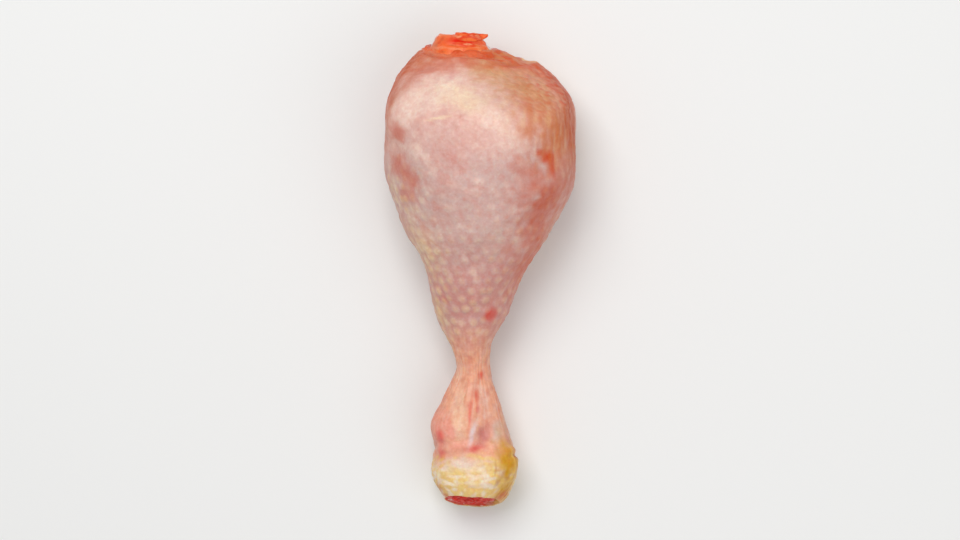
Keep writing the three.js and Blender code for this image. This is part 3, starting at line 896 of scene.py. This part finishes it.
marrow_material, marrow_shader = new_material("wet_marrow")
marrow_place = add_node(marrow_material, "ShaderNodeTexCoord", {}).outputs["Object"]
marrow_tint = add_node(marrow_material, "ShaderNodeAttribute", {}, attribute_name="tint").outputs["Color"]
marrow_specks = ramped(marrow_material, noise_at(marrow_material, marrow_place, 700), 0.5, 0.75, 0, 0.45)
marrow_links = marrow_material.node_tree.links
spotted = mixed(marrow_material, marrow_specks, marrow_tint, (*TINTS["dark_red"], 1))
marrow_links.new(spotted, marrow_shader.inputs["Base Color"])
marrow_grain = noise_at(marrow_material, marrow_place, 1800, detail=4)
marrow_links.new(bumped(marrow_material, marrow_grain, 0.4, 0.15 * MM), marrow_shader.inputs["Normal"])
marrow_shader.inputs["Roughness"].default_value = 0.48
flesh_settings(marrow_shader, scatter=0.1, coat=0.02, specular=0.08)
marrow.data.materials.append(marrow_material)
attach(marrow, "root")
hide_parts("marrow")


# ---------------------------------------------------------------- the scraps of membrane at the knee
#
# Two thin wet scraps of the joint's torn membrane lie across the top of the bone's head and cling to it.
# The longer one is a tongue whose free tip stands out towards the right.

# For each: X and Y where it starts and where it ends, its width and the lift of its free end.
SCRAPS = {
    "tongue": (-7.0, 68.2, 2.4, 69.5, 2.6, 0.2),
    "flap": (-9.0, 66.8, 0.5, 65.8, 2.4, 0.0),
}
SCRAP_THICK = 0.5
SCRAP_STEPS = 48
SCRAP_ROWS = 8


def head_top(x, y):
    """Height of the upper side of the bone's head."""
    s = bone_curve.at(bone_curve.place_of(np.clip(y, 60, 69.2)))
    offset = np.clip((x - s["beside"]) / (s["across"] / 2), -0.96, 0.96)
    return s["up"] + s["high"] / 2 * np.sqrt(1 - offset**2)


scrap_bm = bmesh.new()
for number, (x0, y0, x1, y1, scrap_width, lift) in enumerate(SCRAPS.values()):
    made = bmesh.ops.create_grid(scrap_bm, x_segments=SCRAP_STEPS, y_segments=SCRAP_ROWS, size=0.5)
    plain = np.array([vert.co for vert in made["verts"]])
    t = plain[:, 0] + 0.5
    across = plain[:, 1] * 2
    ragged = 1 + 0.15 * np.sin(9 * t + 3 * number + across) + 0.08 * np.sin(23 * t + across)
    half = scrap_width / 2 * (1 - t**2.4) * ragged + 0.4
    x = x0 + (x1 - x0) * t
    y = y0 + (y1 - y0) * t**1.4 + 0.2 * np.sin(6 * t + number) + across * half
    z = head_top(x, y) + 0.5 * t + lift * t**3 - 0.4 * across**2
    for vert, point in zip(made["verts"], np.stack([x, y, z], axis=1)):
        vert.co = Vector(point) * MM
bmesh.ops.solidify(scrap_bm, geom=scrap_bm.faces[:], thickness=SCRAP_THICK * MM)
scrap = new_piece("membrane_scrap", scrap_bm)
scrap_points = vertex_array(scrap.data) / MM
fibres = lumps(scrap_points * [0.25, 1.2, 0.8], 1.0, seed=41)
colours = np.tile(TINTS["membrane"], (len(scrap_points), 1))
reddest = 0.9 * bell(scrap_points[:, 0] + 3.5, 5.5) * smoothstep(fibres, -0.4, 0.2)
colours = blended(colours, "bright_red", reddest)
colours = blended(colours, "torn_pale", 0.8 * smoothstep(fibres, 0.15, 0.5))
add_tint(scrap.data, colours)
scrap.data.materials.append(bone_material)
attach(scrap, "root")


# ---------------------------------------------------------------- the surface it lies on, light and camera
#
# A plain pale surface under soft light from above, and a camera that looks straight down on the leg, as
# the photograph does, from a little to its right.

FLOOR_HALF = 3
SKY_STRENGTH = 0.42
PHOTO_WIDTH = 960
PHOTO_HEIGHT = 540
CAMERA_PLACE = Vector((0.095, 0.006, 1.23))
LOOKED_AT = Vector((0, 0, 0.02))
FRAMED_LENGTH = 0.160

floor_bm = bmesh.new()
bmesh.ops.create_grid(floor_bm, x_segments=1, y_segments=1, size=FLOOR_HALF)
floor = new_piece("floor", floor_bm)
floor_material, floor_shader = new_material("pale_surface")
floor_shader.inputs["Base Color"].default_value = (0.86, 0.86, 0.85, 1)
floor_shader.inputs["Roughness"].default_value = 0.6
floor.data.materials.append(floor_material)


def area_light(name, place, aim, size, watts):
    data = bpy.data.lights.new(name, "AREA")
    data.size = size
    data.energy = watts
    light = bpy.data.objects.new(name, data)
    bpy.context.scene.collection.objects.link(light)
    light.location = place
    light.rotation_euler = (Vector(aim) - Vector(place)).to_track_quat("-Z", "Y").to_euler()


area_light("key", place=(-0.15, 0.45, 0.9), aim=(0, 0.02, 0.02), size=0.6, watts=5.5)
area_light("fill", place=(0.5, -0.35, 0.8), aim=LOOKED_AT, size=0.9, watts=2.5)

world = bpy.data.worlds.new("studio")
world.use_nodes = True
world.node_tree.nodes["Background"].inputs["Color"].default_value = (1, 1, 1, 1)
world.node_tree.nodes["Background"].inputs["Strength"].default_value = SKY_STRENGTH
bpy.context.scene.world = world
bpy.context.scene.view_settings.view_transform = "Standard"

camera_data = bpy.data.cameras.new("camera")
camera = bpy.data.objects.new("camera", camera_data)
bpy.context.scene.collection.objects.link(camera)
look_back = CAMERA_PLACE - LOOKED_AT
back = look_back.normalized()
right = Vector((0, 1, 0)).cross(back).normalized()
turned = Matrix((right, back.cross(right), back)).transposed()
camera.matrix_world = Matrix.Translation(CAMERA_PLACE) @ turned.to_4x4()
frame_share = PHOTO_HEIGHT / PHOTO_WIDTH / FRAMED_LENGTH
camera_data.lens = camera_data.sensor_width * frame_share * look_back.length
bpy.context.scene.camera = camera
